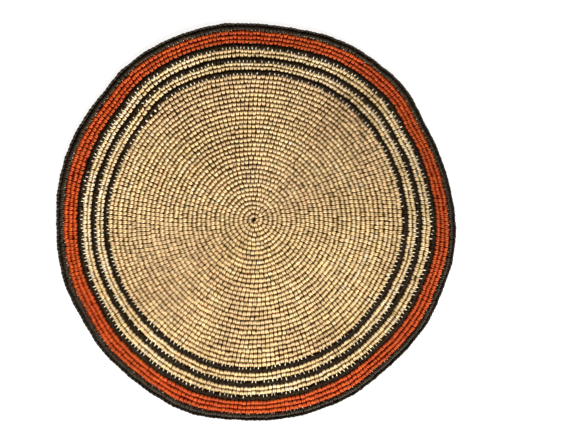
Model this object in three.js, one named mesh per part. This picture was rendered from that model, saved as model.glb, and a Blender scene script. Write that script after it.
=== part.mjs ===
// A round crocheted raffia placemat, in millimetres, +Z up, lying flat with its underside on z = 0.
// The natural field is one spiral that grows outward counter-clockwise from a small starting ring.
// The striped border is worked in closed rounds on the field's edge, and ends in a rolled black rim.
// The origin is under the middle of the uneven outline, so the spiral's hub lies a little off it.
import * as THREE from "three";

// Heights in the cloth, from the surface that it lies on.
const THICKNESS = 3.2;
const GROOVE_HEIGHT = 2.4;
const RIM_HEIGHT = 1.4;
const CENTRE_HEIGHT = 1.2;

// The rim is rolled: the underside and the shoulder stop this far inside its widest line.
const UNDERSIDE_INSET = 1.0;
const SHOULDER_INSET = 0.5;
const SHOULDER_HEIGHT = 2.5;

// The spiral field. Lengths along the radius are counted in rounds, and bearings in degrees.
const FIELD_TURNS = 31;
const STARTING_RING = 0.4;
const SEAM_BEARING = 140;
const END_FALL = 12;

// The yarns, as light colours, and the border's bands from the field outward.
const YARN = {
  natural: new THREE.Color(0xbfa071),
  black: new THREE.Color(0x32281e),
  orange: new THREE.Color(0xa04520),
};
const BORDER = [
  { yarn: "black", rounds: 1, width: 4.9 },
  { yarn: "natural", rounds: 2, width: 7.9 },
  { yarn: "black", rounds: 1, width: 5.1 },
  { yarn: "natural", rounds: 2, width: 8.1 },
  { yarn: "black", rounds: 1, width: 5.5 },
  { yarn: "orange", rounds: 3, width: 11.5 },
  { yarn: "black", rounds: 2, width: 7.3 },
];

// How uneven the handwork is: the pitch of the field's rounds and the rim's radius every 10 degrees.
const HANDWORK = [
  [4.38, 190.5], [4.35, 187.7], [4.33, 186.2], [4.32, 185.3], [4.32, 189.3], [4.32, 188.9],
  [4.31, 188.7], [4.28, 186.9], [4.27, 184.6], [4.26, 185.4], [4.28, 187.7], [4.32, 188.3],
  [4.35, 189.0], [4.36, 189.5], [4.36, 187.1], [4.34, 187.8], [4.34, 188.5], [4.37, 188.5],
  [4.39, 187.6], [4.40, 188.6], [4.39, 189.7], [4.38, 188.8], [4.36, 190.6], [4.36, 190.6],
  [4.39, 191.8], [4.42, 193.8], [4.43, 191.8], [4.41, 190.7], [4.38, 191.1], [4.37, 191.1],
  [4.36, 191.1], [4.35, 189.2], [4.33, 190.1], [4.33, 191.3], [4.36, 190.9], [4.39, 192.1],
].map(([pitch, rim]) => ({ pitch, rim }));

// Steps in one turn, fewer near the centre.
const STEPS = [
  { beforeTurn: 3, steps: 15 },
  { beforeTurn: 11, steps: 30 },
  { beforeTurn: Infinity, steps: 60 },
];
const OUTER_STEPS = STEPS[STEPS.length - 1].steps;

// One column of the handwork table at any bearing, on a smooth closed curve through its rows.
function handwork(column, bearing) {
  const rows = HANDWORK.length;
  const place = (((bearing % 360) + 360) % 360) * (rows / 360);
  const row = Math.floor(place);
  const t = place - row;
  const [before, here, next, after] = [-1, 0, 1, 2].map(
    (step) => HANDWORK[(row + step + rows) % rows][column],
  );
  const slope = (next - before) * t;
  const bend = (2 * before - 5 * here + 4 * next - after) * t ** 2;
  const twist = (3 * here - before - 3 * next + after) * t ** 3;
  return (2 * here + slope + bend + twist) / 2;
}

// Radius in rounds of the groove outside so many turns. The last turn runs out at the seam.
function grooveRounds(turns) {
  if (turns <= 1) return STARTING_RING;
  const alongEdge = turns - 1 - FIELD_TURNS;
  const full = 1 - END_FALL / 360;
  if (alongEdge > full) {
    return STARTING_RING + FIELD_TURNS + (full * (1 - alongEdge)) / (1 - full);
  }
  return STARTING_RING + turns - 1;
}

const bearingAt = (turns) => SEAM_BEARING + 360 * (turns % 1);

function grooveRadius(turns) {
  return grooveRounds(turns) * handwork("pitch", bearingAt(turns));
}

// A point about the spiral's hub.
function point(bearing, radius, height) {
  const angle = THREE.MathUtils.degToRad(bearing);
  return new THREE.Vector3(radius * Math.cos(angle), radius * Math.sin(angle), height);
}

// A line of points once round, from a function that gives the point after a share of the turn.
function line(steps, place) {
  return Array.from({ length: steps + 1 }, (_, step) => place(step / steps));
}

function groove(turn) {
  return line(stepsIn(turn), (share) => {
    const turns = turn + share;
    return point(bearingAt(turns), grooveRadius(turns), GROOVE_HEIGHT);
  });
}

// The crest of one turn, lower where the turn is still narrow.
function crest(turn) {
  return line(stepsIn(turn), (share) => {
    const turns = turn + share;
    const width = grooveRounds(turns + 1) - grooveRounds(turns);
    const middle = (grooveRounds(turns) + grooveRounds(turns + 1)) / 2;
    const height = GROOVE_HEIGHT + (THICKNESS - GROOVE_HEIGHT) * Math.min(1, width);
    return point(bearingAt(turns), middle * handwork("pitch", bearingAt(turns)), height);
  });
}

function stepsIn(turn) {
  return STEPS.find((row) => turn < row.beforeTurn).steps;
}

// A closed line of the border, at a share of the way from the field's edge to the rim.
function borderLine(share, height, inset = 0) {
  return line(OUTER_STEPS, (along) => {
    const bearing = bearingAt(along);
    const edge = grooveRadius(FIELD_TURNS + 1 + along);
    const rim = handwork("rim", bearing);
    return point(bearing, edge + (rim - edge) * share - inset, height);
  });
}

// The skin of the solid, as corners with the yarn's colour at each.
class Skin {
  corners = [];
  colours = [];

  // One face, left out where two of its corners meet.
  face(a, b, c, yarn) {
    const near = (p, q) => p.distanceToSquared(q) < 1e-8;
    if (near(a, b) || near(b, c) || near(c, a)) return;
    for (const corner of [a, b, c]) {
      this.corners.push(corner.x, corner.y, corner.z);
      this.colours.push(...YARN[yarn].toArray());
    }
  }

  // Faces between two lines side by side. The outer one may have twice the inner one's steps.
  strip(inner, outer, yarn) {
    const ratio = (outer.length - 1) / (inner.length - 1);
    for (let i = 0; i + 1 < inner.length; i++) {
      const first = i * ratio;
      for (let k = 0; k < ratio; k++) {
        this.face(inner[i], outer[first + k], outer[first + k + 1], yarn);
      }
      this.face(inner[i], outer[first + ratio], inner[i + 1], yarn);
    }
  }

  geometry() {
    const geometry = new THREE.BufferGeometry();
    geometry.setAttribute("position", new THREE.Float32BufferAttribute(this.corners, 3));
    geometry.setAttribute("color", new THREE.Float32BufferAttribute(this.colours, 3));
    geometry.computeVertexNormals();
    return geometry;
  }
}

// The spiral field with its small hollow centre.
function addField(skin) {
  const centre = line(groove(0).length - 1, () => point(0, 0, CENTRE_HEIGHT));
  skin.strip(centre, groove(0), "natural");
  for (let turn = 0; turn <= FIELD_TURNS; turn++) {
    skin.strip(groove(turn), crest(turn), "natural");
    skin.strip(crest(turn), groove(turn + 1), "natural");
  }
}

// The closed rounds of the border, and the rolled rim. Returns the underside's edge.
function addBorder(skin) {
  const total = BORDER.reduce((sum, band) => sum + band.width, 0);
  let reached = 0;
  let last = groove(FIELD_TURNS + 1);
  for (const { yarn, rounds, width } of BORDER) {
    for (let round = 0; round < rounds; round++) {
      const step = width / rounds;
      const top = borderLine((reached + step / 2) / total, THICKNESS);
      skin.strip(last, top, yarn);
      reached += step;
      const atRim = reached > total - step / 2;
      last = atRim
        ? borderLine(1, SHOULDER_HEIGHT, SHOULDER_INSET)
        : borderLine(reached / total, GROOVE_HEIGHT);
      skin.strip(top, last, yarn);
    }
  }
  const { yarn } = BORDER[BORDER.length - 1];
  const rim = borderLine(1, RIM_HEIGHT);
  const underside = borderLine(1, 0, UNDERSIDE_INSET);
  skin.strip(last, rim, yarn);
  skin.strip(rim, underside, yarn);
  return underside;
}

function makeMat() {
  const skin = new Skin();
  addField(skin);
  const underside = addBorder(skin);
  const centre = underside.map(() => point(0, 0, 0));
  skin.strip(underside, centre, "natural");

  const geometry = skin.geometry();
  geometry.computeBoundingBox();
  const middle = geometry.boundingBox.getCenter(new THREE.Vector3());
  geometry.translate(-middle.x, -middle.y, 0);

  const raffia = new THREE.MeshStandardMaterial({
    color: 0xffffff,
    vertexColors: true,
    roughness: 0.7,
    metalness: 0,
  });
  const mat = new THREE.Mesh(geometry, raffia);
  mat.name = "mat";
  return mat;
}

const placemat = new THREE.Group();
placemat.add(makeMat());

export default placemat;
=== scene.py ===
"""Round crocheted raffia placemat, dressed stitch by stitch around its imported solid.

The natural field is one spiral of stitches, and the striped border is worked on it in closed rounds.
Each stitch is a V of two raffia strands that starts low in the round inside it, so all the stitches of
one yarn are laid by the same functions, round by round.
"""

import math
from dataclasses import dataclass

import bmesh
import bpy
import numpy as np
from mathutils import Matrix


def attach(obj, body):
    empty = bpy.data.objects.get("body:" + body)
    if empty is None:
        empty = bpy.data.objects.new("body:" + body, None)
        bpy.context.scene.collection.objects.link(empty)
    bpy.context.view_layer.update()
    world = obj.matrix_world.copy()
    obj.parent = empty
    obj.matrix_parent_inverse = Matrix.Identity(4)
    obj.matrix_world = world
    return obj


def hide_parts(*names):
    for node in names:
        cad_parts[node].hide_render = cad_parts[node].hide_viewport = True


bl_info = {
    "name": "Raffia Placemat",
    "version": (1, 0, 0),
    "blender": (4, 5, 0),
    "location": "View3D > Sidebar > Placemat",
    "description": "Crochets a round raffia placemat around its packed solid",
    "category": "Object",
}

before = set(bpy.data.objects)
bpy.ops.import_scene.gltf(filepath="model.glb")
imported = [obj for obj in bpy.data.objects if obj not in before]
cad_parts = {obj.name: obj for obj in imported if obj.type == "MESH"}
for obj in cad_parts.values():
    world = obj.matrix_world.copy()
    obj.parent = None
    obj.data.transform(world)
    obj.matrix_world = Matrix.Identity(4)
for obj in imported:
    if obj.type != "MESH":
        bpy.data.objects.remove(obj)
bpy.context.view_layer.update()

MM = 0.001

# The spiral field. Lengths along the radius are counted in rounds, and bearings in degrees.
FIELD_TURNS = 31
STARTING_RING = 0.4
SEAM_BEARING = 140
END_FALL = 12
SOLID_STEPS = 60

# The border's bands from the field outward: yarn, rounds of stitches and width in mm.
BORDER = [
    ("black", 1, 4.9),
    ("natural", 2, 7.9),
    ("black", 1, 5.1),
    ("natural", 2, 8.1),
    ("black", 1, 5.2),
    ("orange", 3, 12.2),
    ("edge", 1, 4.3),
    ("chain", 1, 2.6),
]
BORDER_WIDTH = sum(width for _, _, width in BORDER)

# How uneven the handwork is, in mm every 10 degrees: the pitch of the field's rounds, the rim's radius, and
# how far the border's middle lines sway outward from even shares of its width.
HANDWORK = {
    "pitch": [
        4.38, 4.35, 4.33, 4.32, 4.32, 4.32, 4.31, 4.28, 4.27, 4.26, 4.28, 4.32,
        4.35, 4.36, 4.36, 4.34, 4.34, 4.37, 4.39, 4.40, 4.39, 4.38, 4.36, 4.36,
        4.39, 4.42, 4.43, 4.41, 4.38, 4.37, 4.36, 4.35, 4.33, 4.33, 4.36, 4.39,
    ],
    "rim": [
        190.5, 187.7, 186.2, 185.3, 189.3, 188.9, 188.7, 186.9, 184.6, 185.4, 187.7, 188.3,
        189.0, 189.5, 187.1, 187.8, 188.5, 188.5, 187.6, 188.6, 189.7, 188.8, 190.6, 190.6,
        191.8, 193.8, 191.8, 190.7, 191.1, 191.1, 191.1, 189.2, 190.1, 191.3, 190.9, 192.1,
    ],
    "sway": [
        0.6, 0.6, 0.5, 0.2, 0.2, 0.4, 0.0, -0.8, -0.9, -1.0, -0.7, -0.8,
        -0.8, -1.2, -1.2, -1.4, -1.2, -1.4, -1.3, -1.1, -1.1, -1.2, -0.6, -0.7,
        -0.8, -0.9, 0.0, 0.0, -0.6, -0.6, -0.5, -0.2, 0.1, 0.3, 0.4, 0.3,
    ],
}

# One strand of a stitch, ring by ring from its inner tip to its outer one, in mm:
# place along the round's radius, place across the stitch, height, half width and half thickness.
FRONT_STRAND = [
    (-3.05, 0.26, 1.52, 0.00, 0.00),
    (-2.25, 0.53, 1.93, 0.75, 0.56),
    (-1.10, 0.73, 2.27, 1.07, 0.83),
    (0.20, 0.85, 2.39, 1.13, 0.92),
    (1.65, 0.87, 1.89, 0.88, 0.71),
    (2.95, 0.92, 0.92, 0.00, 0.00),
]
# The bar across the back of each stitch, in the same way but laid along the round.
BACK_STRAND = [
    (-2.60, -0.60, 1.15, 0.00, 0.00),
    (-1.40, -0.30, 0.82, 1.45, 0.54),
    (0.00, 0.05, 0.74, 1.80, 0.62),
    (1.40, 0.40, 0.82, 1.45, 0.54),
    (2.60, 0.65, 1.15, 0.00, 0.00),
]
# The end of an old stitch that shows between two stitches of the next colour.
TIP_STRAND = [
    (-3.50, 0.00, 2.25, 0.00, 0.00),
    (-2.65, 0.00, 2.55, 0.58, 0.50),
    (-1.20, 0.05, 2.78, 0.50, 0.45),
    (0.00, 0.12, 2.50, 0.00, 0.00),
]
# Yarn carried under the edge, where it glints through between two stitches.
GLINT_STRAND = [
    (-3.30, 0.00, 1.90, 0.00, 0.00),
    (-2.60, 0.00, 2.40, 0.30, 0.34),
    (-1.90, 0.05, 2.70, 0.24, 0.28),
    (-1.30, 0.10, 2.40, 0.00, 0.00),
]
# The two loops of the chain along the rim, laid along the round.
CHAIN_STRANDS = [
    [
        (-2.90, -0.95, 1.90, 0.00, 0.00),
        (-1.50, -1.00, 2.30, 0.75, 0.66),
        (0.10, -0.75, 2.50, 0.95, 0.78),
        (1.60, -0.30, 2.25, 0.75, 0.66),
        (2.90, 0.10, 1.70, 0.00, 0.00),
    ],
    [
        (-2.90, 0.00, 1.20, 0.00, 0.00),
        (-1.50, 0.35, 1.75, 0.90, 0.90),
        (0.10, 0.60, 2.05, 1.05, 1.05),
        (1.60, 0.45, 1.75, 0.90, 0.90),
        (2.90, 0.10, 1.15, 0.00, 0.00),
    ],
]
# Sides of a strand that shows its whole form, and of one that shows less.
FULL_SIDES = 6
FEW_SIDES = 5
# A strand is modelled this far aside, so that its rings that wait can be told from those in place.
ASIDE = 100

# Stitches of the first round, and the mean width of a stitch and of a round in mm. Each stitch stands this
# share of a stitch beside the one under it.
FIRST_STITCHES = 6
STITCH_WIDTH = 3.93
ROUND_PITCH = 4.35
COLUMN_LEAN = -0.1
ROUND_SAMPLES = 72
# Places in a round are evened so many times, from so much of each place and of both its neighbours.
EVENING_PASSES = 12
OWN_SHARE = 0.4
NEIGHBOUR_SHARE = 0.3
# Narrowest part of a round that takes a stitch, in rounds: within one turn of the start, and beyond it.
NARROWEST_FIRST = 0.3
NARROWEST = 0.05

# How uneven the stitches are, as standard deviations: place in stitches, then width, reach and thickness as
# shares, mm that it leans across for each mm along, and mm that it is shifted along the radius.
UNEVENNESS = {
    "place": 0.03,
    "width": 0.06,
    "reach": 0.06,
    "thickness": 0.11,
    "lean": 0.08,
    "shift": 0.20,
}
# Height in mm that uneven thickness leaves as it is, on the front and on the back.
FRONT_MIDDLE = 2.2
BACK_MIDDLE = 0.7
# The border's stitches are this much wider than the field's.
BORDER_FULLNESS = 1.06

# Mean tone of the stitches, on the scale of DYE_TONES.
STITCH_TONE = 0.27
NATURAL_BORDER_TONE = 0.44
# One length of raffia makes from so many stitches to so many. The tone changes with each length and stitch.
LENGTH_STITCHES = (7, 34)
LENGTH_TONES = 0.2
STITCH_TONES = 0.07

# Halfway between two stitches, and where the chain's loops stand, in stitches.
BETWEEN = 0.5
CHAIN_OFFSET = 0.25
# How the tips and the glints are laid, and what share of them shows. Their high tone gives them the palest
# dye stop, a painted highlight.
TIPS = {"slant": -0.05, "offset": BETWEEN, "uneven": 2.0, "tone": 1.2}
TIP_SHARE = 0.9
GLINTS = {"slant": -0.2, "offset": BETWEEN, "uneven": 2.5, "tone": 1.4}
GLINT_SHARES = {"orange": 0.8, "natural": 0.6}
SEEDS = {"field": 11, "border": 21, "colour changes": 31, "edge chain": 41, "underside": 51}

# Waves of hand-worked cloth: slow ones in its height, as shares of it, and quick ones that its rounds stray
# in, in mm. Bent waves give their length, how far they are bent, and the length of the waves that bend them.
SWELL_SHARE = 0.035
SWELL_WAVES = (21, 1.3, 33)
RIPPLE_SHARE = 0.03
RIPPLE_LENGTHS = (17, 47)
STRAY = 0.3
STRAY_WAVES_X = (4.7, 2.1, 11)
STRAY_WAVES_Y = (5.3, 1.7, 13)
# Rounds nearer the hub than this stray less.
STEADY_RADIUS = 20


# Shape of the handwork


def handwork(column, bearing):
    """One column of the handwork table at any bearings, on a smooth closed curve, in mm."""
    rows = np.array(HANDWORK[column])
    place = np.mod(bearing, 360.0) * (len(rows) / 360.0)
    row = np.floor(place).astype(int)
    t = place - row
    before, here, after, beyond = (rows[(row + step) % len(rows)] for step in (-1, 0, 1, 2))
    slope = (after - before) * t
    bend = (2 * before - 5 * here + 4 * after - beyond) * t**2
    twist = (3 * here - before - 3 * after + beyond) * t**3
    return (2 * here + slope + bend + twist) / 2


def groove_rounds(turns):
    """Radius in rounds of the groove outside so many turns. The last turn runs out at the seam."""
    along_edge = np.clip(turns - 1 - FIELD_TURNS, None, 1.0)
    full = 1 - END_FALL / 360
    growing = STARTING_RING + np.maximum(turns, 1.0) - 1
    falling = STARTING_RING + FIELD_TURNS + full * (1 - along_edge) / (1 - full)
    return np.where(along_edge > full, falling, growing)


def bearing_at(turns):
    return SEAM_BEARING + 360 * turns


def field_edge(turns):
    """Radius of the field's edge, in mm."""
    share = np.mod(turns, 1.0)
    return groove_rounds(FIELD_TURNS + 1 + share) * handwork("pitch", bearing_at(turns))


class Spiral:
    """The field, worked as one spiral. Places along it count turns from the centre."""

    yarn = "natural"

    def edges(self, turns):
        pitch = handwork("pitch", bearing_at(turns))
        return [groove_rounds(turns + step) * pitch for step in (0, 1)]


def border_line(share, turns, inset=0.0):
    """Radius in mm of a line of the border, at a share of the way from the field's edge to the rim.

    The border sways fully in its middle, and not at all at its edges.
    """
    edge = field_edge(turns)
    border = handwork("rim", bearing_at(turns)) - inset - edge
    return edge + border * share + handwork("sway", bearing_at(turns)) * 4 * share * (1 - share)


@dataclass
class ClosedRound:
    """One closed round of the border. Its edges are shares of the way from the field to the rim."""

    kind: str
    inner: float
    outer: float

    @property
    def yarn(self):
        return "black" if self.kind in ("edge", "chain") else self.kind

    def edges(self, turns):
        return [border_line(share, turns) for share in (self.inner, self.outer)]


def border_rounds():
    """The border's rounds in order, from the field to the rim."""
    rounds = []
    reached = 0.0
    for kind, count, width in BORDER:
        for _ in range(count):
            inner = reached / BORDER_WIDTH
            reached += width / count
            rounds.append(ClosedRound(kind, inner, reached / BORDER_WIDTH))
    return rounds


def hub():
    """Where the spiral starts, in mm: a little off the middle of the uneven outline."""
    bearings = bearing_at(np.arange(SOLID_STEPS) / SOLID_STEPS)
    rim = handwork("rim", bearings)
    x = rim * np.cos(np.radians(bearings))
    y = rim * np.sin(np.radians(bearings))
    return -(x.min() + x.max()) / 2, -(y.min() + y.max()) / 2


HUB = hub()
FIELD = Spiral()
BORDER_ROUNDS = border_rounds()


def bent(along, across, length, bend, bend_length):
    """Phase of waves along a line that are bent by slower waves across it."""
    return along / length + bend * np.sin(across / bend_length)


def swell(x, y):
    """Slow waves of hand-worked cloth, as a factor on its height."""
    swells = SWELL_SHARE * np.sin(bent(x, y, *SWELL_WAVES))
    ripples = RIPPLE_SHARE * np.sin(y / RIPPLE_LENGTHS[0] - x / RIPPLE_LENGTHS[1])
    return 1 + swells + ripples


def waver(x, y):
    """How far hand-worked rounds stray from their even line, in mm."""
    return STRAY * np.sin(bent(x, y, *STRAY_WAVES_X)) * np.cos(bent(y, x, *STRAY_WAVES_Y))


def placed(turns, radius, height):
    """Points in metres from places in turns, radii in mm and heights in mm."""
    angle = np.radians(bearing_at(turns))
    straight = HUB[0] + radius * np.cos(angle), HUB[1] + radius * np.sin(angle)
    radius = radius + waver(*straight) * np.clip(radius / STEADY_RADIUS, 0, 1)
    x = HUB[0] + radius * np.cos(angle)
    y = HUB[1] + radius * np.sin(angle)
    return np.stack([x, y, height * swell(x, y)], axis=-1) * MM


# Where the stitches of each round stand


def stitches_in(crochet_round, first_turn=0):
    """How many stitches one turn of a round takes."""
    inner, outer = crochet_round.edges(first_turn + np.arange(ROUND_SAMPLES) / ROUND_SAMPLES)
    around = float(np.mean(inner + outer)) * math.pi
    return max(FIRST_STITCHES, round(around / STITCH_WIDTH))


def next_places(turns, count, spread, before_first=None):
    """Places in the next round: a stitch on each one of the last round, and increases between them."""
    turns = turns + COLUMN_LEAN / len(turns)
    extra = count - len(turns)
    if extra > 0:
        increases = np.mod(spread + (np.arange(extra) + 0.5) / extra, 1.0)
        turns = np.concatenate([turns, turns[0] + increases])
    turns = np.sort(turns)
    for _ in range(EVENING_PASSES):
        first = turns[-1] - 1 if before_first is None else before_first
        before = np.concatenate([[first], turns[:-1]])
        after = np.concatenate([turns[1:], [turns[0] + 1]])
        turns = OWN_SHARE * turns + NEIGHBOUR_SHARE * (before + after)
    return turns


# The increases start this share of a turn further round in each round, so that they never line up.
GOLDEN = (math.sqrt(5) - 1) / 2


def field_places():
    """Places of the field's stitches, in turns from the centre."""
    last = (np.arange(FIRST_STITCHES) + 0.5) / FIRST_STITCHES
    found = [last]
    for turn in range(1, FIELD_TURNS + 1):
        last = next_places(last + 1, stitches_in(FIELD, turn), turn * GOLDEN, last[-1])
        found.append(last)
    return np.concatenate(found)


def border_places(field):
    """Places of the stitches of each border round, in turns from the seam."""
    last = np.sort(np.mod(field[field > FIELD_TURNS], 1.0))
    found = []
    for number, crochet_round in enumerate(BORDER_ROUNDS):
        if crochet_round.kind != "chain":
            last = next_places(last, stitches_in(crochet_round), number * GOLDEN)
        found.append(last)
    return found


FIELD_PLACES = field_places()
BORDER_PLACES = border_places(FIELD_PLACES)


# Strands modelled one by one


@dataclass
class Master:
    """A modelled shape as arrays: points in mm about the middle of its stitch, and how far each faces up."""

    points: np.ndarray
    upward: np.ndarray
    corners: np.ndarray
    starts: np.ndarray
    uv: np.ndarray


def start_piece():
    if bpy.context.object and bpy.context.object.mode != "OBJECT":
        bpy.ops.object.mode_set(mode="OBJECT")
    bpy.ops.object.select_all(action="DESELECT")


def pick(mesh, wanted):
    """Selects the vertices that the test wants, in edit mode."""
    shape = bmesh.from_edit_mesh(mesh)
    for vertex in shape.verts:
        vertex.select = wanted(vertex.co)
    shape.select_flush_mode()
    bmesh.update_edit_mesh(mesh)


def add_strand(rings, sides):
    """A ball drawn out along Y, with each of its rings moved and sized to the strand's row."""
    bpy.ops.mesh.primitive_uv_sphere_add(
        segments=sides,
        ring_count=len(rings) - 1,
        radius=1,
        rotation=(math.pi / 2, math.pi / sides, 0),
    )
    strand = bpy.context.object
    bpy.ops.object.transform_apply(location=False, rotation=True, scale=False)
    bpy.ops.object.mode_set(mode="EDIT")
    bpy.ops.transform.translate(value=(0, ASIDE, 0))
    for number, (along, across, height, half_width, half_thickness) in enumerate(rings):
        latitude = -math.cos(math.pi * number / (len(rings) - 1))
        pick(strand.data, lambda co, y=ASIDE + latitude: abs(co.y - y) < 1e-3)
        ring_radius = math.sqrt(max(0.0, 1 - latitude**2))
        if half_width:
            bpy.ops.transform.resize(
                value=(half_width / ring_radius, 1, half_thickness / ring_radius),
                center_override=(0, ASIDE + latitude, 0),
            )
        bpy.ops.transform.translate(value=(across, along - ASIDE - latitude, height))
    bpy.ops.object.mode_set(mode="OBJECT")
    return strand


def mirror_strand(strand):
    """Adds the second strand of a V by mirroring the first across the stitch."""
    bpy.ops.object.mode_set(mode="EDIT")
    bpy.ops.mesh.select_all(action="SELECT")
    bpy.ops.mesh.duplicate()
    bpy.ops.transform.resize(value=(-1, 1, 1), center_override=(0, 0, 0))
    bpy.ops.mesh.flip_normals()
    bpy.ops.object.mode_set(mode="OBJECT")
    return strand


def turn_along_round(strand):
    """Lays a strand along its round."""
    bpy.ops.object.mode_set(mode="EDIT")
    bpy.ops.mesh.select_all(action="SELECT")
    bpy.ops.transform.rotate(value=math.pi / 2, orient_axis="Z", center_override=(0, 0, 0))
    bpy.ops.object.mode_set(mode="OBJECT")
    return strand


def take_master(strand):
    """Reads a finished shape and removes it. Its faces are turned over, because laying mirrors it."""
    mesh = strand.data
    # How far each point faces up sets its painted shade.
    upward = np.array([normal.vector.z for normal in mesh.vertex_normals])
    bpy.context.view_layer.objects.active = strand
    bpy.ops.object.mode_set(mode="EDIT")
    bpy.ops.mesh.select_all(action="SELECT")
    bpy.ops.mesh.flip_normals()
    bpy.ops.object.mode_set(mode="OBJECT")
    points = np.zeros(len(mesh.vertices) * 3)
    mesh.vertices.foreach_get("co", points)
    corners = np.zeros(len(mesh.loops), dtype=np.int32)
    mesh.loops.foreach_get("vertex_index", corners)
    starts = np.zeros(len(mesh.polygons), dtype=np.int32)
    mesh.polygons.foreach_get("loop_start", starts)
    uv = np.zeros(len(mesh.loops) * 2)
    mesh.uv_layers[0].data.foreach_get("uv", uv)
    bpy.data.objects.remove(strand)
    bpy.data.meshes.remove(mesh)
    return Master(points.reshape(-1, 3), upward, corners, starts, uv.reshape(-1, 2))


def front_master():
    start_piece()
    return take_master(mirror_strand(add_strand(FRONT_STRAND, FULL_SIDES)))


def tip_master(rings):
    start_piece()
    return take_master(add_strand(rings, FEW_SIDES))


def back_master():
    start_piece()
    return take_master(turn_along_round(add_strand(BACK_STRAND, FEW_SIDES)))


def chain_master():
    start_piece()
    loops = [turn_along_round(add_strand(rings, FULL_SIDES)) for rings in CHAIN_STRANDS]
    start_piece()
    for loop in loops:
        loop.select_set(True)
    bpy.context.view_layer.objects.active = loops[0]
    bpy.ops.object.join()
    return take_master(loops[0])


# Laying stitches


@dataclass
class Laid:
    """Copies of one master along a round: points in metres, and two numbers for each copy's colour."""

    points: np.ndarray
    tone: np.ndarray
    chance: np.ndarray

    def only(self, chosen):
        """The copies that an index array or a mask chooses."""
        return Laid(self.points[chosen], self.tone[chosen], self.chance[chosen])


def yarn_tones(count, dice, middle):
    """Tone of each stitch: near the same along one length of raffia, then that of the next length."""
    ends = np.cumsum(dice.integers(*LENGTH_STITCHES, size=count))
    strand = np.searchsorted(ends, np.arange(count), side="right")
    lengths = LENGTH_TONES * (dice.random(count) - 0.5)[strand]
    return middle + lengths + STITCH_TONES * dice.standard_normal(count)


def lay(
    master,
    crochet_round,
    turns,
    dice,
    slant=0.0,
    offset=0.0,
    uneven=1.0,
    fullness=1.0,
    tone=STITCH_TONE,
    middle=FRONT_MIDDLE,
):
    """Lays a master at each place of a round, bent to the round and a little uneven."""
    count = len(turns)
    width = np.gradient(turns)
    stray = {
        measure: spread * uneven * dice.standard_normal(count)
        for measure, spread in UNEVENNESS.items()
    }
    turns = turns + width * (offset + stray["place"])
    grow = fullness + stray["width"]
    reach = 1 + stray["reach"]
    thick = 1 + stray["thickness"]
    lean = slant + stray["lean"]

    x, y, z = master.points.T
    across = (x[None, :] * grow[:, None] + y[None, :] * lean[:, None]) / STITCH_WIDTH
    along = (y[None, :] * reach[:, None] + stray["shift"][:, None]) / ROUND_PITCH + 0.5
    place = turns[:, None] + across * width[:, None]
    inner, outer = crochet_round.edges(place)
    narrowest = np.where(turns < 1, NARROWEST_FIRST, NARROWEST) * ROUND_PITCH
    worked = np.all(outer - inner > narrowest[:, None], axis=1)
    height = middle + (z[None, :] - middle) * thick[:, None]
    points = placed(place, inner + along * (outer - inner), np.maximum(height, 0))
    return Laid(points, yarn_tones(count, dice, tone), dice.random(count)).only(worked)


# Width and length in metres of what each half of the flat map holds.
MAP_SIZE = 0.4
# Painted shade: heights in mm between which the strands come out of the painted shade of the hollows, on the
# front and on the back.
FRONT_HOLLOWS = (1.65, 2.85)
BACK_HOLLOWS = (0.3, 1.3)
# Painted shade on the sides: what faces outward, from this little to this much, is out of the painted shade
# by these shares.
FACING = (0.1, 0.85)
FACING_SHARES = (0.8, 1)


def bake_places(points, corners, starts):
    """A flat map: what faces up on the left, and what faces down on the right."""
    ends = np.append(starts[1:], len(corners))
    a, b, c = (points[corners[starts + step]] for step in range(3))
    normal_z = np.cross(b - a, c - a)[:, 2]
    down = np.repeat(normal_z < 0, ends - starts)
    x, y = points[corners][:, :2].T
    left, right = 0.25, 0.75
    u = np.where(down, right - x / MAP_SIZE / 2, left + x / MAP_SIZE / 2)
    return np.stack([u, y / MAP_SIZE + 0.5], axis=-1)


def add_map(mesh, name, places):
    layer = mesh.uv_layers.new(name=name)
    layer.data.foreach_set("uv", places.astype(np.float32).ravel())


def out_of_shaded_hollows(points, upward, behind):
    """How far each point is out of the painted shade of the hollows between the strands, from 0 to 1."""
    height = points[:, 2] / MM
    if behind:
        return np.interp(height, BACK_HOLLOWS, (1, 0)) * np.interp(-upward, FACING, FACING_SHARES)
    return np.interp(height, FRONT_HOLLOWS, (0, 1)) * np.interp(upward, FACING, FACING_SHARES)


def joined(name, master, rows, yarn, finish=None, behind=False):
    """One piece from all the laid rows of a master, in the yarn's own finish if no other is named."""
    points = np.concatenate([row.points for row in rows])
    copies, per_copy = points.shape[:2]
    points = points.reshape(-1, 3)
    corners_each = len(master.corners)
    corners = (master.corners[None, :] + np.arange(copies)[:, None] * per_copy).ravel()
    starts = (master.starts[None, :] + np.arange(copies)[:, None] * corners_each).ravel()
    mesh = bpy.data.meshes.new(name)
    mesh.vertices.add(len(points))
    mesh.vertices.foreach_set("co", points.astype(np.float32).ravel())
    mesh.loops.add(len(corners))
    mesh.loops.foreach_set("vertex_index", corners.astype(np.int32))
    mesh.polygons.add(len(starts))
    mesh.polygons.foreach_set("loop_start", starts.astype(np.int32))
    mesh.update(calc_edges=True)
    mesh.shade_smooth()
    add_map(mesh, "Fibre", np.tile(master.uv, (copies, 1)))
    add_map(mesh, "OFBake", bake_places(points, corners, starts))
    # The outside number is a painted shade mask: 0 deep in the hollows, 1 out of them.
    numbers = {"outside": out_of_shaded_hollows(points, np.tile(master.upward, copies), behind)}
    for label in ("tone", "chance"):
        values = np.concatenate([getattr(row, label) for row in rows])
        numbers[label] = np.repeat(values, per_copy)
    for label, values in numbers.items():
        attribute = mesh.attributes.new(label, "FLOAT", "POINT")
        attribute.data.foreach_set("value", values.astype(np.float32))
    mesh.materials.append(yarn_material(finish or yarn))
    piece = bpy.data.objects.new(name, mesh)
    bpy.context.scene.collection.objects.link(piece)
    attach(piece, "root")
    return piece
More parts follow.
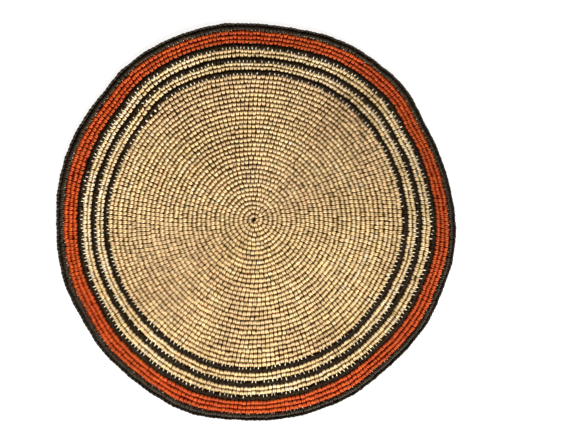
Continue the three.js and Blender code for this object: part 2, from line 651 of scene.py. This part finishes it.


# Finishes

# The dye's tones from 0 to 1: place, and factors on its red, green and blue. The palest stop, reached by the
# tips and glints, is a painted highlight.
DYE_TONES = [
    (0.00, (0.98, 0.94, 0.94)),
    (0.22, (1.00, 1.00, 1.00)),
    (0.40, (1.02, 1.05, 1.00)),
    (0.55, (1.03, 1.12, 1.30)),
    (0.92, (1.03, 1.12, 1.30)),
    (1.00, (1.15, 1.36, 1.75)),
]
# Wide patches in the yarns: scale of their noise, the part of it that is used, and what it does to tone
# and shade. Each stitch has a shade of its own too.
PATCH_SCALE = 14.0
PATCH_SPAN = (0.3, 0.7)
PATCH_TONES = (-0.13, 0.13)
PATCH_SHADES = (0.91, 1.08)
STITCH_SHADES = (0.87, 1.10)
# Painted light: the yarns are painted brighter toward the near left. The span is in metres from its middle.
LIT_SIDE = (-0.7, -0.7, 0.0)
LIT_SPAN = (-0.12, 0.12)
LIT_SHADES = (0.93, 1.09)
# Streaks along each strand: scale of their noise around and along it, its range over the stitches, the
# part of it that fades the dye, and the relief that it makes.
STREAK_SCALE = (16.0, 1.2, 1.0)
STREAK_DETAIL = 3.0
STREAK_RANGE = (0, 57)
STREAK_SPAN = (0.3, 0.65)
RELIEF = {"distance": 0.2 * MM, "strength": 0.5}
# The cloth between the stitches: how dark its painted shade is against the painted shade of the hollows, its
# fuzz, and the extra painted shade of its centre.
CLOTH_PAINTED_SHADE = 0.8
CENTRE_PAINTED_SHADE = 0.9
FUZZ_SCALE = 900.0
FUZZ_DETAIL = 4.0
FUZZ_SPAN = (0.35, 0.65)
FUZZ_SHADES = (0.6, 1.15)


def node(tree, kind, **settings):
    made = tree.nodes.new(kind)
    for name, value in settings.items():
        setattr(made, name, value)
    return made


def colour_ramp(tree, source, stops):
    ramp = node(tree, "ShaderNodeValToRGB")
    elements = ramp.color_ramp.elements
    while len(elements) < len(stops):
        elements.new(0.5)
    for element, (place, colour) in zip(elements, stops):
        element.position = place
        element.color = (*colour, 1.0)
    tree.links.new(source, ramp.inputs[0])
    return ramp.outputs[0]


def grey(tree, source, span, shades):
    """A number that goes between two shades while the source goes over its span."""
    ranged = node(tree, "ShaderNodeMapRange")
    tree.links.new(source, ranged.inputs["Value"])
    for name, value in zip(("From Min", "From Max", "To Min", "To Max"), (*span, *shades)):
        ranged.inputs[name].default_value = value
    return ranged.outputs[0]


def combine(tree, operation, first, second):
    """Works out a number from two others."""
    made = node(tree, "ShaderNodeMath", operation=operation)
    tree.links.new(first, made.inputs[0])
    tree.links.new(second, made.inputs[1])
    return made.outputs[0]


def along_line(tree, places, direction):
    """How far each place lies toward a direction."""
    toward = node(tree, "ShaderNodeVectorMath", operation="DOT_PRODUCT")
    tree.links.new(places, toward.inputs[0])
    toward.inputs[1].default_value = direction
    return toward.outputs["Value"]


def blend(tree, kind, factor, first, second, clamp=True):
    """Mixes two colours. Each input is a socket or a plain value."""
    mix = node(tree, "ShaderNodeMix", data_type="RGBA", blend_type=kind, clamp_result=clamp)
    for socket, value in ((mix.inputs[0], factor), (mix.inputs[6], first), (mix.inputs[7], second)):
        if isinstance(value, bpy.types.NodeSocket):
            tree.links.new(value, socket)
        else:
            socket.default_value = value if isinstance(value, float) else (*value, 1.0)
    return mix.outputs[2]


def new_material(name, roughness, specular):
    material = bpy.data.materials.new(name)
    material.use_nodes = True
    shader = material.node_tree.nodes["Principled BSDF"]
    shader.inputs["Roughness"].default_value = roughness
    shader.inputs["Specular IOR Level"].default_value = specular
    return material, material.node_tree, shader


def add_bump(tree, shader, height, distance, strength):
    bump = node(tree, "ShaderNodeBump")
    bump.inputs["Strength"].default_value = strength
    bump.inputs["Distance"].default_value = distance
    tree.links.new(height, bump.inputs["Height"])
    tree.links.new(bump.outputs[0], shader.inputs["Normal"])


def fibre_streaks(tree, chance):
    """Noise drawn out along each strand, and different on each stitch."""
    fibre = node(tree, "ShaderNodeUVMap", uv_map="Fibre")
    stretch = node(tree, "ShaderNodeMapping")
    stretch.inputs["Scale"].default_value = STREAK_SCALE
    tree.links.new(fibre.outputs[0], stretch.inputs[0])
    streaks = node(tree, "ShaderNodeTexNoise", noise_dimensions="4D")
    streaks.inputs["Scale"].default_value = 1.0
    streaks.inputs["Detail"].default_value = STREAK_DETAIL
    tree.links.new(stretch.outputs[0], streaks.inputs["Vector"])
    tree.links.new(grey(tree, chance, (0, 1), STREAK_RANGE), streaks.inputs["W"])
    return streaks.outputs["Fac"]


def times(colour, factors):
    return tuple(min(1.0, part * factor) for part, factor in zip(colour, factors))


def painted_hollow_shade(colour, finish):
    """Painted shade for a dye: what light that has gone from strand to strand makes of it, darker and
    deeper.
    """
    share = CLOTH_PAINTED_SHADE * finish.hollow_shade_share
    return tuple(share * part**finish.hollow_shade_depth for part in colour)


@dataclass
class YarnFinish:
    """Specular level of a yarn, how dark and how deep the painted shade makes its dye in the hollows, and
    its streaks.

    The streaks run from so much of the dye to so much of its red, green and blue, where it has faded.
    """

    specular: float
    hollow_shade_share: float
    hollow_shade_depth: float
    least: float
    faded: tuple


# The rim is rolled outward, so it gets the least painted shade in its hollows. Its paler colour is painted
# light.
YARN_FINISHES = {
    "natural": YarnFinish(0.15, 0.14, 3.0, 0.68, (1.12, 1.13, 1.20)),
    "black": YarnFinish(0.12, 0.5, 1.3, 0.30, (2.30, 2.20, 2.00)),
    "orange": YarnFinish(0.30, 0.75, 1.9, 0.60, (1.26, 2.40, 6.00)),
    "rim": YarnFinish(0.30, 0.9, 1.0, 0.25, (2.80, 2.80, 2.80)),
}


def raffia(name, colour, roughness, finish):
    """Raffia yarn, with tones by length of raffia, streaks along each strand, and painted shade that darkens
    and deepens the dye in the hollows.
    """
    material, tree, shader = new_material(name, roughness, finish.specular)
    tone, chance, outside = (
        node(tree, "ShaderNodeAttribute", attribute_name=label).outputs["Fac"]
        for label in ("tone", "chance", "outside")
    )
    places = node(tree, "ShaderNodeTexCoord").outputs["Object"]
    noise = node(tree, "ShaderNodeTexNoise")
    noise.inputs["Scale"].default_value = PATCH_SCALE
    tree.links.new(places, noise.inputs["Vector"])
    patches = noise.outputs["Fac"]
    patched = combine(tree, "ADD", tone, grey(tree, patches, PATCH_SPAN, PATCH_TONES))
    stops = [(place, times(colour, factors)) for place, factors in DYE_TONES]
    dyed = colour_ramp(tree, patched, stops)
    dyed = blend(tree, "MULTIPLY", 1.0, dyed, grey(tree, chance, (0, 1), STITCH_SHADES))
    dyed = blend(tree, "MULTIPLY", 1.0, dyed, grey(tree, patches, PATCH_SPAN, PATCH_SHADES))
    # Painted light, brighter toward the near left.
    painted_light = grey(tree, along_line(tree, places, LIT_SIDE), LIT_SPAN, LIT_SHADES)
    dyed = blend(tree, "MULTIPLY", 1.0, dyed, painted_light, clamp=False)
    streaks = fibre_streaks(tree, chance)
    faded = grey(tree, streaks, STREAK_SPAN, (0, 1))
    fading = blend(tree, "MIX", faded, (finish.least,) * 3, finish.faded, clamp=False)
    dyed = blend(tree, "MULTIPLY", 1.0, dyed, fading)
    # Painted shade: the dye gets deeper and darker where the outside number puts a point in the hollows.
    deepened = node(tree, "ShaderNodeGamma")
    tree.links.new(dyed, deepened.inputs["Color"])
    depth = grey(tree, outside, (0, 1), (finish.hollow_shade_depth, 1))
    tree.links.new(depth, deepened.inputs["Gamma"])
    painted_shade = grey(tree, outside, (0, 1), (finish.hollow_shade_share, 1))
    darkened = blend(tree, "MULTIPLY", 1.0, deepened.outputs[0], painted_shade)
    tree.links.new(darkened, shader.inputs["Base Color"])
    add_bump(tree, shader, streaks, **RELIEF)
    return material


def yarn_material(finish):
    """The material of one finish, made once."""
    name = f"{finish}_yarn"
    if name in bpy.data.materials:
        return bpy.data.materials[name]
    settings = bpy.context.scene.placemat_yarns
    colour = tuple(getattr(settings, finish))
    return raffia(name, colour, settings.roughness, YARN_FINISHES[finish])


def cloth_material():
    """The cloth between and under the stitches, seen only in their gaps, in each band's dark tone, which is
    painted shade.
    """
    material, tree, shader = new_material("cloth_between_stitches", roughness=0.8, specular=0.2)
    yarn = node(tree, "ShaderNodeAttribute", attribute_name="yarn_colour").outputs["Color"]
    places = node(tree, "ShaderNodeTexCoord").outputs["Object"]
    noise = node(tree, "ShaderNodeTexNoise")
    noise.inputs["Scale"].default_value = FUZZ_SCALE
    noise.inputs["Detail"].default_value = FUZZ_DETAIL
    tree.links.new(places, noise.inputs["Vector"])
    fuzz = noise.outputs["Fac"]
    mottled = blend(tree, "MULTIPLY", 1.0, yarn, grey(tree, fuzz, FUZZ_SPAN, FUZZ_SHADES))
    tree.links.new(mottled, shader.inputs["Base Color"])
    add_bump(tree, shader, fuzz, **RELIEF)
    return material


# Settings that a user would change


class YarnSettings(bpy.types.PropertyGroup):
    """Colours and roughness of the three raffia yarns"""

    natural: bpy.props.FloatVectorProperty(
        name="Natural raffia",
        description="Middle tone of the undyed yarn",
        default=(0.80, 0.635, 0.395),
        subtype="COLOR",
        min=0,
        max=1,
    )
    black: bpy.props.FloatVectorProperty(
        name="Black raffia",
        description="Middle tone of the black yarn",
        default=(0.021, 0.013, 0.006),
        subtype="COLOR",
        min=0,
        max=1,
    )
    # Painted light: the edge round and the rim take a paler copy of the black yarn, lighter than the black
    # stitches.
    rim: bpy.props.FloatVectorProperty(
        name="Black raffia on the rim",
        description="Middle tone of the black yarn on the edge round and the rim",
        default=(0.022, 0.016, 0.010),
        subtype="COLOR",
        min=0,
        max=1,
    )
    orange: bpy.props.FloatVectorProperty(
        name="Orange raffia",
        description="Middle tone of the burnt orange yarn",
        default=(0.50, 0.063, 0.005),
        subtype="COLOR",
        min=0,
        max=1,
    )
    roughness: bpy.props.FloatProperty(
        name="Roughness",
        description="How matt the raffia's skin is",
        default=0.52,
        subtype="FACTOR",
        min=0,
        max=1,
    )


class ClothSettings(bpy.types.PropertyGroup):
    """Sizes of the cloth that the stitches stand on"""

    groove_height: bpy.props.FloatProperty(
        name="Groove height",
        description="Top of the cloth between two rounds",
        default=1.3 * MM,
        subtype="DISTANCE",
        unit="LENGTH",
    )
    crest_height: bpy.props.FloatProperty(
        name="Crest height",
        description="Top of the cloth under the middle of a round",
        default=1.75 * MM,
        subtype="DISTANCE",
        unit="LENGTH",
    )
    hole_height: bpy.props.FloatProperty(
        name="Hole height",
        description="Top of the cloth in the small hole of the starting ring",
        default=1.15 * MM,
        subtype="DISTANCE",
        unit="LENGTH",
    )
    back_height: bpy.props.FloatProperty(
        name="Back height",
        description="Underside of the cloth above the table",
        default=0.85 * MM,
        subtype="DISTANCE",
        unit="LENGTH",
    )
    rim_inset: bpy.props.FloatProperty(
        name="Rim inset",
        description="How far the cloth stops short of the rim's widest line",
        default=0.7 * MM,
        subtype="DISTANCE",
        unit="LENGTH",
    )


class StageSettings(bpy.types.PropertyGroup):
    """Light and camera"""

    frame_width: bpy.props.FloatProperty(
        name="Frame width",
        description="Width of what the camera sees at the mat",
        default=0.5453,
        subtype="DISTANCE",
        unit="LENGTH",
    )
    camera_height: bpy.props.FloatProperty(
        name="Camera height",
        description="Height of the camera above the table",
        default=1.6,
        subtype="DISTANCE",
        unit="LENGTH",
    )
    camera_aim: bpy.props.FloatVectorProperty(
        name="Camera aim",
        description="Point straight under the camera",
        default=(0.0307, 0.0050),
        size=2,
        subtype="XYZ",
        unit="LENGTH",
    )
    key_bearing: bpy.props.FloatProperty(
        name="Key light bearing",
        description="Direction that the key light stands in, counter-clockwise from the right",
        default=math.radians(290),
        subtype="ANGLE",
        unit="ROTATION",
    )
    key_elevation: bpy.props.FloatProperty(
        name="Key light elevation",
        description="How high the key light stands above the table",
        default=math.radians(31),
        subtype="ANGLE",
        unit="ROTATION",
    )
    key_power: bpy.props.FloatProperty(
        name="Key light",
        description="Power of the large light in front of the mat",
        default=277.0,
        unit="POWER",
    )
    fill: bpy.props.FloatProperty(
        name="Fill light",
        description="Power of the wide warm light overhead",
        default=16.0,
        unit="POWER",
    )


# Operators

# How far the rim's upper and lower rings stand inside its widest line, in rounds.
RIM_SHOULDER = 0.4

# The stage, in metres. The floor glows a little, so that it comes out white.
FLOOR_SIZE = 30.0
FLOOR_DROP = 0.05 * MM
FLOOR_COLOUR = (0.12, 0.12, 0.12, 1.0)
FLOOR_GLOW = 0.92
WORLD_COLOUR = (1.0, 0.80, 0.50, 1.0)
WORLD_STRENGTH = 0.08
FILL_COLOUR = (1.0, 0.66, 0.28)
FILL_HEIGHT = 2.5
FILL_SIZE = 3.0
KEY_DISTANCE = 3.5
KEY_SIZE = 0.9
VIEW_GAMMA = 0.86
SENSOR_WIDTH = 36.0
STITCH_TOP = 2.5 * MM
SIGHT = 50.0


class PLACEMAT_OT_cloth(bpy.types.Operator):
    """Make the closed cloth that the stitches stand on"""

    bl_idname = "placemat.cloth"
    bl_label = "Cloth under the stitches"

    steps = 120
    rounds = FIELD_TURNS + 1

    def rings(self, settings):
        """Place in rounds and height of each ring, from the centre over the rim to the underside."""
        count = self.rounds + len(BORDER_ROUNDS)
        found = []
        for number in range(count - 1):
            crest = settings.crest_height if number else settings.hole_height
            found.append((number + 0.5, crest))
            found.append((number + 1.0, settings.groove_height))
        found.append((count - RIM_SHOULDER, settings.crest_height))
        found.append((count, (settings.crest_height + settings.back_height) / 2))
        found.append((count - RIM_SHOULDER, settings.back_height))
        return found

    def radius(self, place, turns):
        """Radius in mm of a ring at its place in rounds."""
        lines = [0.0] + [crochet_round.outer for crochet_round in BORDER_ROUNDS]
        share = np.interp(place - self.rounds, np.arange(len(lines)), lines)
        inset = bpy.context.scene.placemat_cloth.rim_inset / MM
        inside = field_edge(turns) * place / self.rounds
        return np.where(place <= self.rounds, inside, border_line(share, turns, inset))

    def execute(self, context):
        settings = context.scene.placemat_cloth
        rings = self.rings(settings)
        first_place, first_height = rings[0]
        start_piece()
        bpy.ops.mesh.primitive_circle_add(
            vertices=self.steps,
            radius=first_place,
            fill_type="TRIFAN",
            location=(0, 0, first_height),
        )
        cloth = context.object
        cloth.name = "mat_cloth"
        bpy.ops.object.transform_apply(location=True, rotation=False, scale=False)
        bpy.ops.object.mode_set(mode="EDIT")
        pick(cloth.data, lambda co: co.xy.length > first_place * 0.9)
        for (last_place, last_height), (place, height) in zip(rings, rings[1:]):
            bpy.ops.mesh.extrude_region_move(
                TRANSFORM_OT_translate={"value": (0, 0, height - last_height)}
            )
            scale = place / last_place
            bpy.ops.transform.resize(value=(scale, scale, 1), center_override=(0, 0, 0))
        bpy.ops.mesh.edge_face_add()
        bpy.ops.mesh.select_all(action="SELECT")
        bpy.ops.mesh.normals_make_consistent(inside=False)
        bpy.ops.object.mode_set(mode="OBJECT")
        self.lay_out(cloth.data)
        cloth.data.shade_smooth()
        cloth.data.materials.append(cloth_material())
        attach(cloth, "root")
        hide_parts("mat")
        return {"FINISHED"}

    def lay_out(self, mesh):
        """Brings the even rings to the handwork's own lines, and gives each point its band's dark tone, a
        painted shade.
        """
        points = np.zeros(len(mesh.vertices) * 3)
        mesh.vertices.foreach_get("co", points)
        x, y, z = points.reshape(-1, 3).T
        place = np.hypot(x, y)
        turns = (np.degrees(np.arctan2(y, x)) - SEAM_BEARING) / 360
        points = placed(turns, self.radius(place, turns), z / MM)
        mesh.vertices.foreach_set("co", points.astype(np.float32).ravel())

        yarns = bpy.context.scene.placemat_yarns
        bands = [FIELD.yarn] * self.rounds + [crochet_round.yarn for crochet_round in BORDER_ROUNDS]
        tones = {
            yarn: painted_hollow_shade(getattr(yarns, yarn), YARN_FINISHES[yarn])
            for yarn in set(bands)
        }
        table = np.array([(*tones[band], 1.0) for band in bands])
        # Painted shade: the hole of the starting ring is darker still.
        table[0, :3] *= CENTRE_PAINTED_SHADE
        number = np.clip(np.floor(place).astype(int), 0, len(bands) - 1)
        attribute = mesh.color_attributes.new("yarn_colour", "FLOAT_COLOR", "POINT")
        attribute.data.foreach_set("color", table[number].astype(np.float32).ravel())
        mesh.update()


class PLACEMAT_OT_field(bpy.types.Operator):
    """Crochet the natural field as one spiral of stitches"""

    bl_idname = "placemat.field"
    bl_label = "Natural field"

    def execute(self, context):
        master = front_master()
        spiral = lay(master, FIELD, FIELD_PLACES, np.random.default_rng(SEEDS["field"]))
        cuts = np.array_split(np.arange(len(spiral.points)), 3)
        for place, chosen in zip(("inner", "middle", "outer"), cuts):
            joined(f"field_{place}_stitches", master, [spiral.only(chosen)], FIELD.yarn)
        return {"FINISHED"}


class PLACEMAT_OT_border(bpy.types.Operator):
    """Crochet the striped rounds of the border and the edge round"""

    bl_idname = "placemat.border"
    bl_label = "Striped border"

    def execute(self, context):
        master = front_master()
        dice = np.random.default_rng(SEEDS["border"])
        rows = {"natural": [], "black": [], "orange": [], "edge": []}
        for crochet_round, turns in zip(BORDER_ROUNDS[:-1], BORDER_PLACES):
            tone = NATURAL_BORDER_TONE if crochet_round.kind == "natural" else STITCH_TONE
            laid = lay(master, crochet_round, turns, dice, fullness=BORDER_FULLNESS, tone=tone)
            rows[crochet_round.kind].append(laid)
        for kind in ("natural", "black", "orange"):
            joined(f"border_{kind}_stitches", master, rows[kind], kind)
        joined("edge_stitches", master, rows["edge"], "black", "rim")
        return {"FINISHED"}


class PLACEMAT_OT_colour_changes(bpy.types.Operator):
    """Show the ends of the old colour between stitches, and the yarn that glints through the edge"""

    bl_idname = "placemat.colour_changes"
    bl_label = "Colour changes"

    def execute(self, context):
        master = tip_master(TIP_STRAND)
        dice = np.random.default_rng(SEEDS["colour changes"])
        rows = {"natural": [], "black": []}
        before = [FIELD, *BORDER_ROUNDS]
        for last, crochet_round, turns in zip(before, BORDER_ROUNDS, BORDER_PLACES):
            if last.yarn in rows and last.yarn != crochet_round.yarn:
                tips = lay(master, crochet_round, turns, dice, **TIPS)
                rows[last.yarn].append(tips.only(dice.random(len(turns)) < TIP_SHARE))
        for yarn, laid in rows.items():
            joined(f"{yarn}_change_tips", master, laid, yarn)

        glint = tip_master(GLINT_STRAND)
        edge, turns = BORDER_ROUNDS[-2], BORDER_PLACES[-2]
        for yarn, share in GLINT_SHARES.items():
            glints = lay(glint, edge, turns, dice, **GLINTS)
            shown = glints.only(dice.random(len(turns)) < share)
            joined(f"edge_{yarn}_glints", glint, [shown], yarn)
        return {"FINISHED"}


class PLACEMAT_OT_edge_chain(bpy.types.Operator):
    """Run the chain of top loops along the rim"""

    bl_idname = "placemat.edge_chain"
    bl_label = "Chain along the rim"

    def execute(self, context):
        master = chain_master()
        dice = np.random.default_rng(SEEDS["edge chain"])
        chain = lay(master, BORDER_ROUNDS[-1], BORDER_PLACES[-1], dice, offset=CHAIN_OFFSET)
        joined("edge_chain", master, [chain], "black", "rim")
        return {"FINISHED"}


class PLACEMAT_OT_underside(bpy.types.Operator):
    """Make the bars that each stitch shows on the back of the mat"""

    bl_idname = "placemat.underside"
    bl_label = "Back of the stitches"

    def execute(self, context):
        master = back_master()
        dice = np.random.default_rng(SEEDS["underside"])
        rows = {"natural": [], "black": [], "orange": []}
        rounds = [FIELD, *BORDER_ROUNDS[:-1]]
        for crochet_round, turns in zip(rounds, [FIELD_PLACES, *BORDER_PLACES]):
            bars = lay(master, crochet_round, turns, dice, offset=BETWEEN, middle=BACK_MIDDLE)
            rows[crochet_round.yarn].append(bars)
        for yarn, laid in rows.items():
            joined(f"{yarn}_back_bars", master, laid, yarn, behind=True)
        return {"FINISHED"}


class PLACEMAT_OT_declare(bpy.types.Operator):
    """An empty step: it changes nothing in the scene"""

    bl_idname = "placemat.declare"
    bl_label = "Cloth sheet"

    def execute(self, context):
        return {"FINISHED"}


class PLACEMAT_OT_stage(bpy.types.Operator):
    """Set the pale floor, the soft light and the camera straight above"""

    bl_idname = "placemat.stage"
    bl_label = "Floor, light and camera"

    def execute(self, context):
        settings = context.scene.placemat_stage
        self.floor()
        self.lights(context.scene, settings)
        self.camera(context.scene, settings)
        return {"FINISHED"}

    def floor(self):
        start_piece()
        bpy.ops.mesh.primitive_plane_add(size=FLOOR_SIZE, location=(0, 0, -FLOOR_DROP))
        floor = bpy.context.object
        floor.name = "pale_floor"
        material, _, shader = new_material("pale_floor", roughness=0.9, specular=0.2)
        shader.inputs["Base Color"].default_value = FLOOR_COLOUR
        shader.inputs["Emission Color"].default_value = (1.0, 1.0, 1.0, 1.0)
        shader.inputs["Emission Strength"].default_value = FLOOR_GLOW
        floor.data.materials.append(material)

    def lights(self, scene, settings):
        world = bpy.data.worlds.new("studio")
        world.use_nodes = True
        background = world.node_tree.nodes["Background"]
        background.inputs["Color"].default_value = WORLD_COLOUR
        background.inputs["Strength"].default_value = WORLD_STRENGTH
        scene.world = world
        bpy.ops.object.light_add(type="AREA", location=(0, 0, FILL_HEIGHT))
        fill = bpy.context.object
        fill.name = "fill_light"
        fill.data.energy = settings.fill
        fill.data.color = FILL_COLOUR
        fill.data.shape = "DISK"
        fill.data.size = FILL_SIZE
        bearing, elevation = settings.key_bearing, settings.key_elevation
        bpy.ops.object.light_add(
            type="AREA",
            location=(
                KEY_DISTANCE * math.cos(bearing) * math.cos(elevation),
                KEY_DISTANCE * math.sin(bearing) * math.cos(elevation),
                KEY_DISTANCE * math.sin(elevation),
            ),
            rotation=(math.pi / 2 - elevation, 0, bearing + math.pi / 2),
        )
        key = bpy.context.object
        key.name = "key_light"
        key.data.energy = settings.key_power
        key.data.shape = "SQUARE"
        key.data.size = KEY_SIZE

    def camera(self, scene, settings):
        scene.view_settings.view_transform = "Standard"
        scene.view_settings.gamma = VIEW_GAMMA
        location = (*settings.camera_aim, settings.camera_height)
        bpy.ops.object.camera_add(location=location, rotation=(0, 0, 0))
        camera = bpy.context.object
        camera.name = "overhead_camera"
        camera.data.sensor_width = SENSOR_WIDTH
        distance = settings.camera_height - STITCH_TOP
        camera.data.lens = SENSOR_WIDTH * distance / settings.frame_width
        camera.data.clip_end = SIGHT
        scene.camera = camera


STEPS = [
    PLACEMAT_OT_cloth,
    PLACEMAT_OT_field,
    PLACEMAT_OT_border,
    PLACEMAT_OT_colour_changes,
    PLACEMAT_OT_edge_chain,
    PLACEMAT_OT_underside,
    PLACEMAT_OT_declare,
    PLACEMAT_OT_stage,
]


class PLACEMAT_PT_panel(bpy.types.Panel):
    """Lists the steps that make the placemat"""

    bl_label = "Raffia Placemat"
    bl_idname = "PLACEMAT_PT_panel"
    bl_space_type = "VIEW_3D"
    bl_region_type = "UI"
    bl_category = "Placemat"

    def draw(self, context):
        for step in STEPS:
            self.layout.operator(step.bl_idname)


SETTINGS = {
    "placemat_yarns": YarnSettings,
    "placemat_cloth": ClothSettings,
    "placemat_stage": StageSettings,
}


def register():
    for group in SETTINGS.values():
        bpy.utils.register_class(group)
    for name, group in SETTINGS.items():
        setattr(bpy.types.Scene, name, bpy.props.PointerProperty(type=group))
    for step in (*STEPS, PLACEMAT_PT_panel):
        bpy.utils.register_class(step)


def unregister():
    for step in (PLACEMAT_PT_panel, *reversed(STEPS)):
        bpy.utils.unregister_class(step)
    for name, group in SETTINGS.items():
        delattr(bpy.types.Scene, name)
        bpy.utils.unregister_class(group)


def main():
    register()
    for step in STEPS:
        verb = step.bl_idname.split(".")[1]
        getattr(bpy.ops.placemat, verb)()


if __name__ == "__main__":
    main()
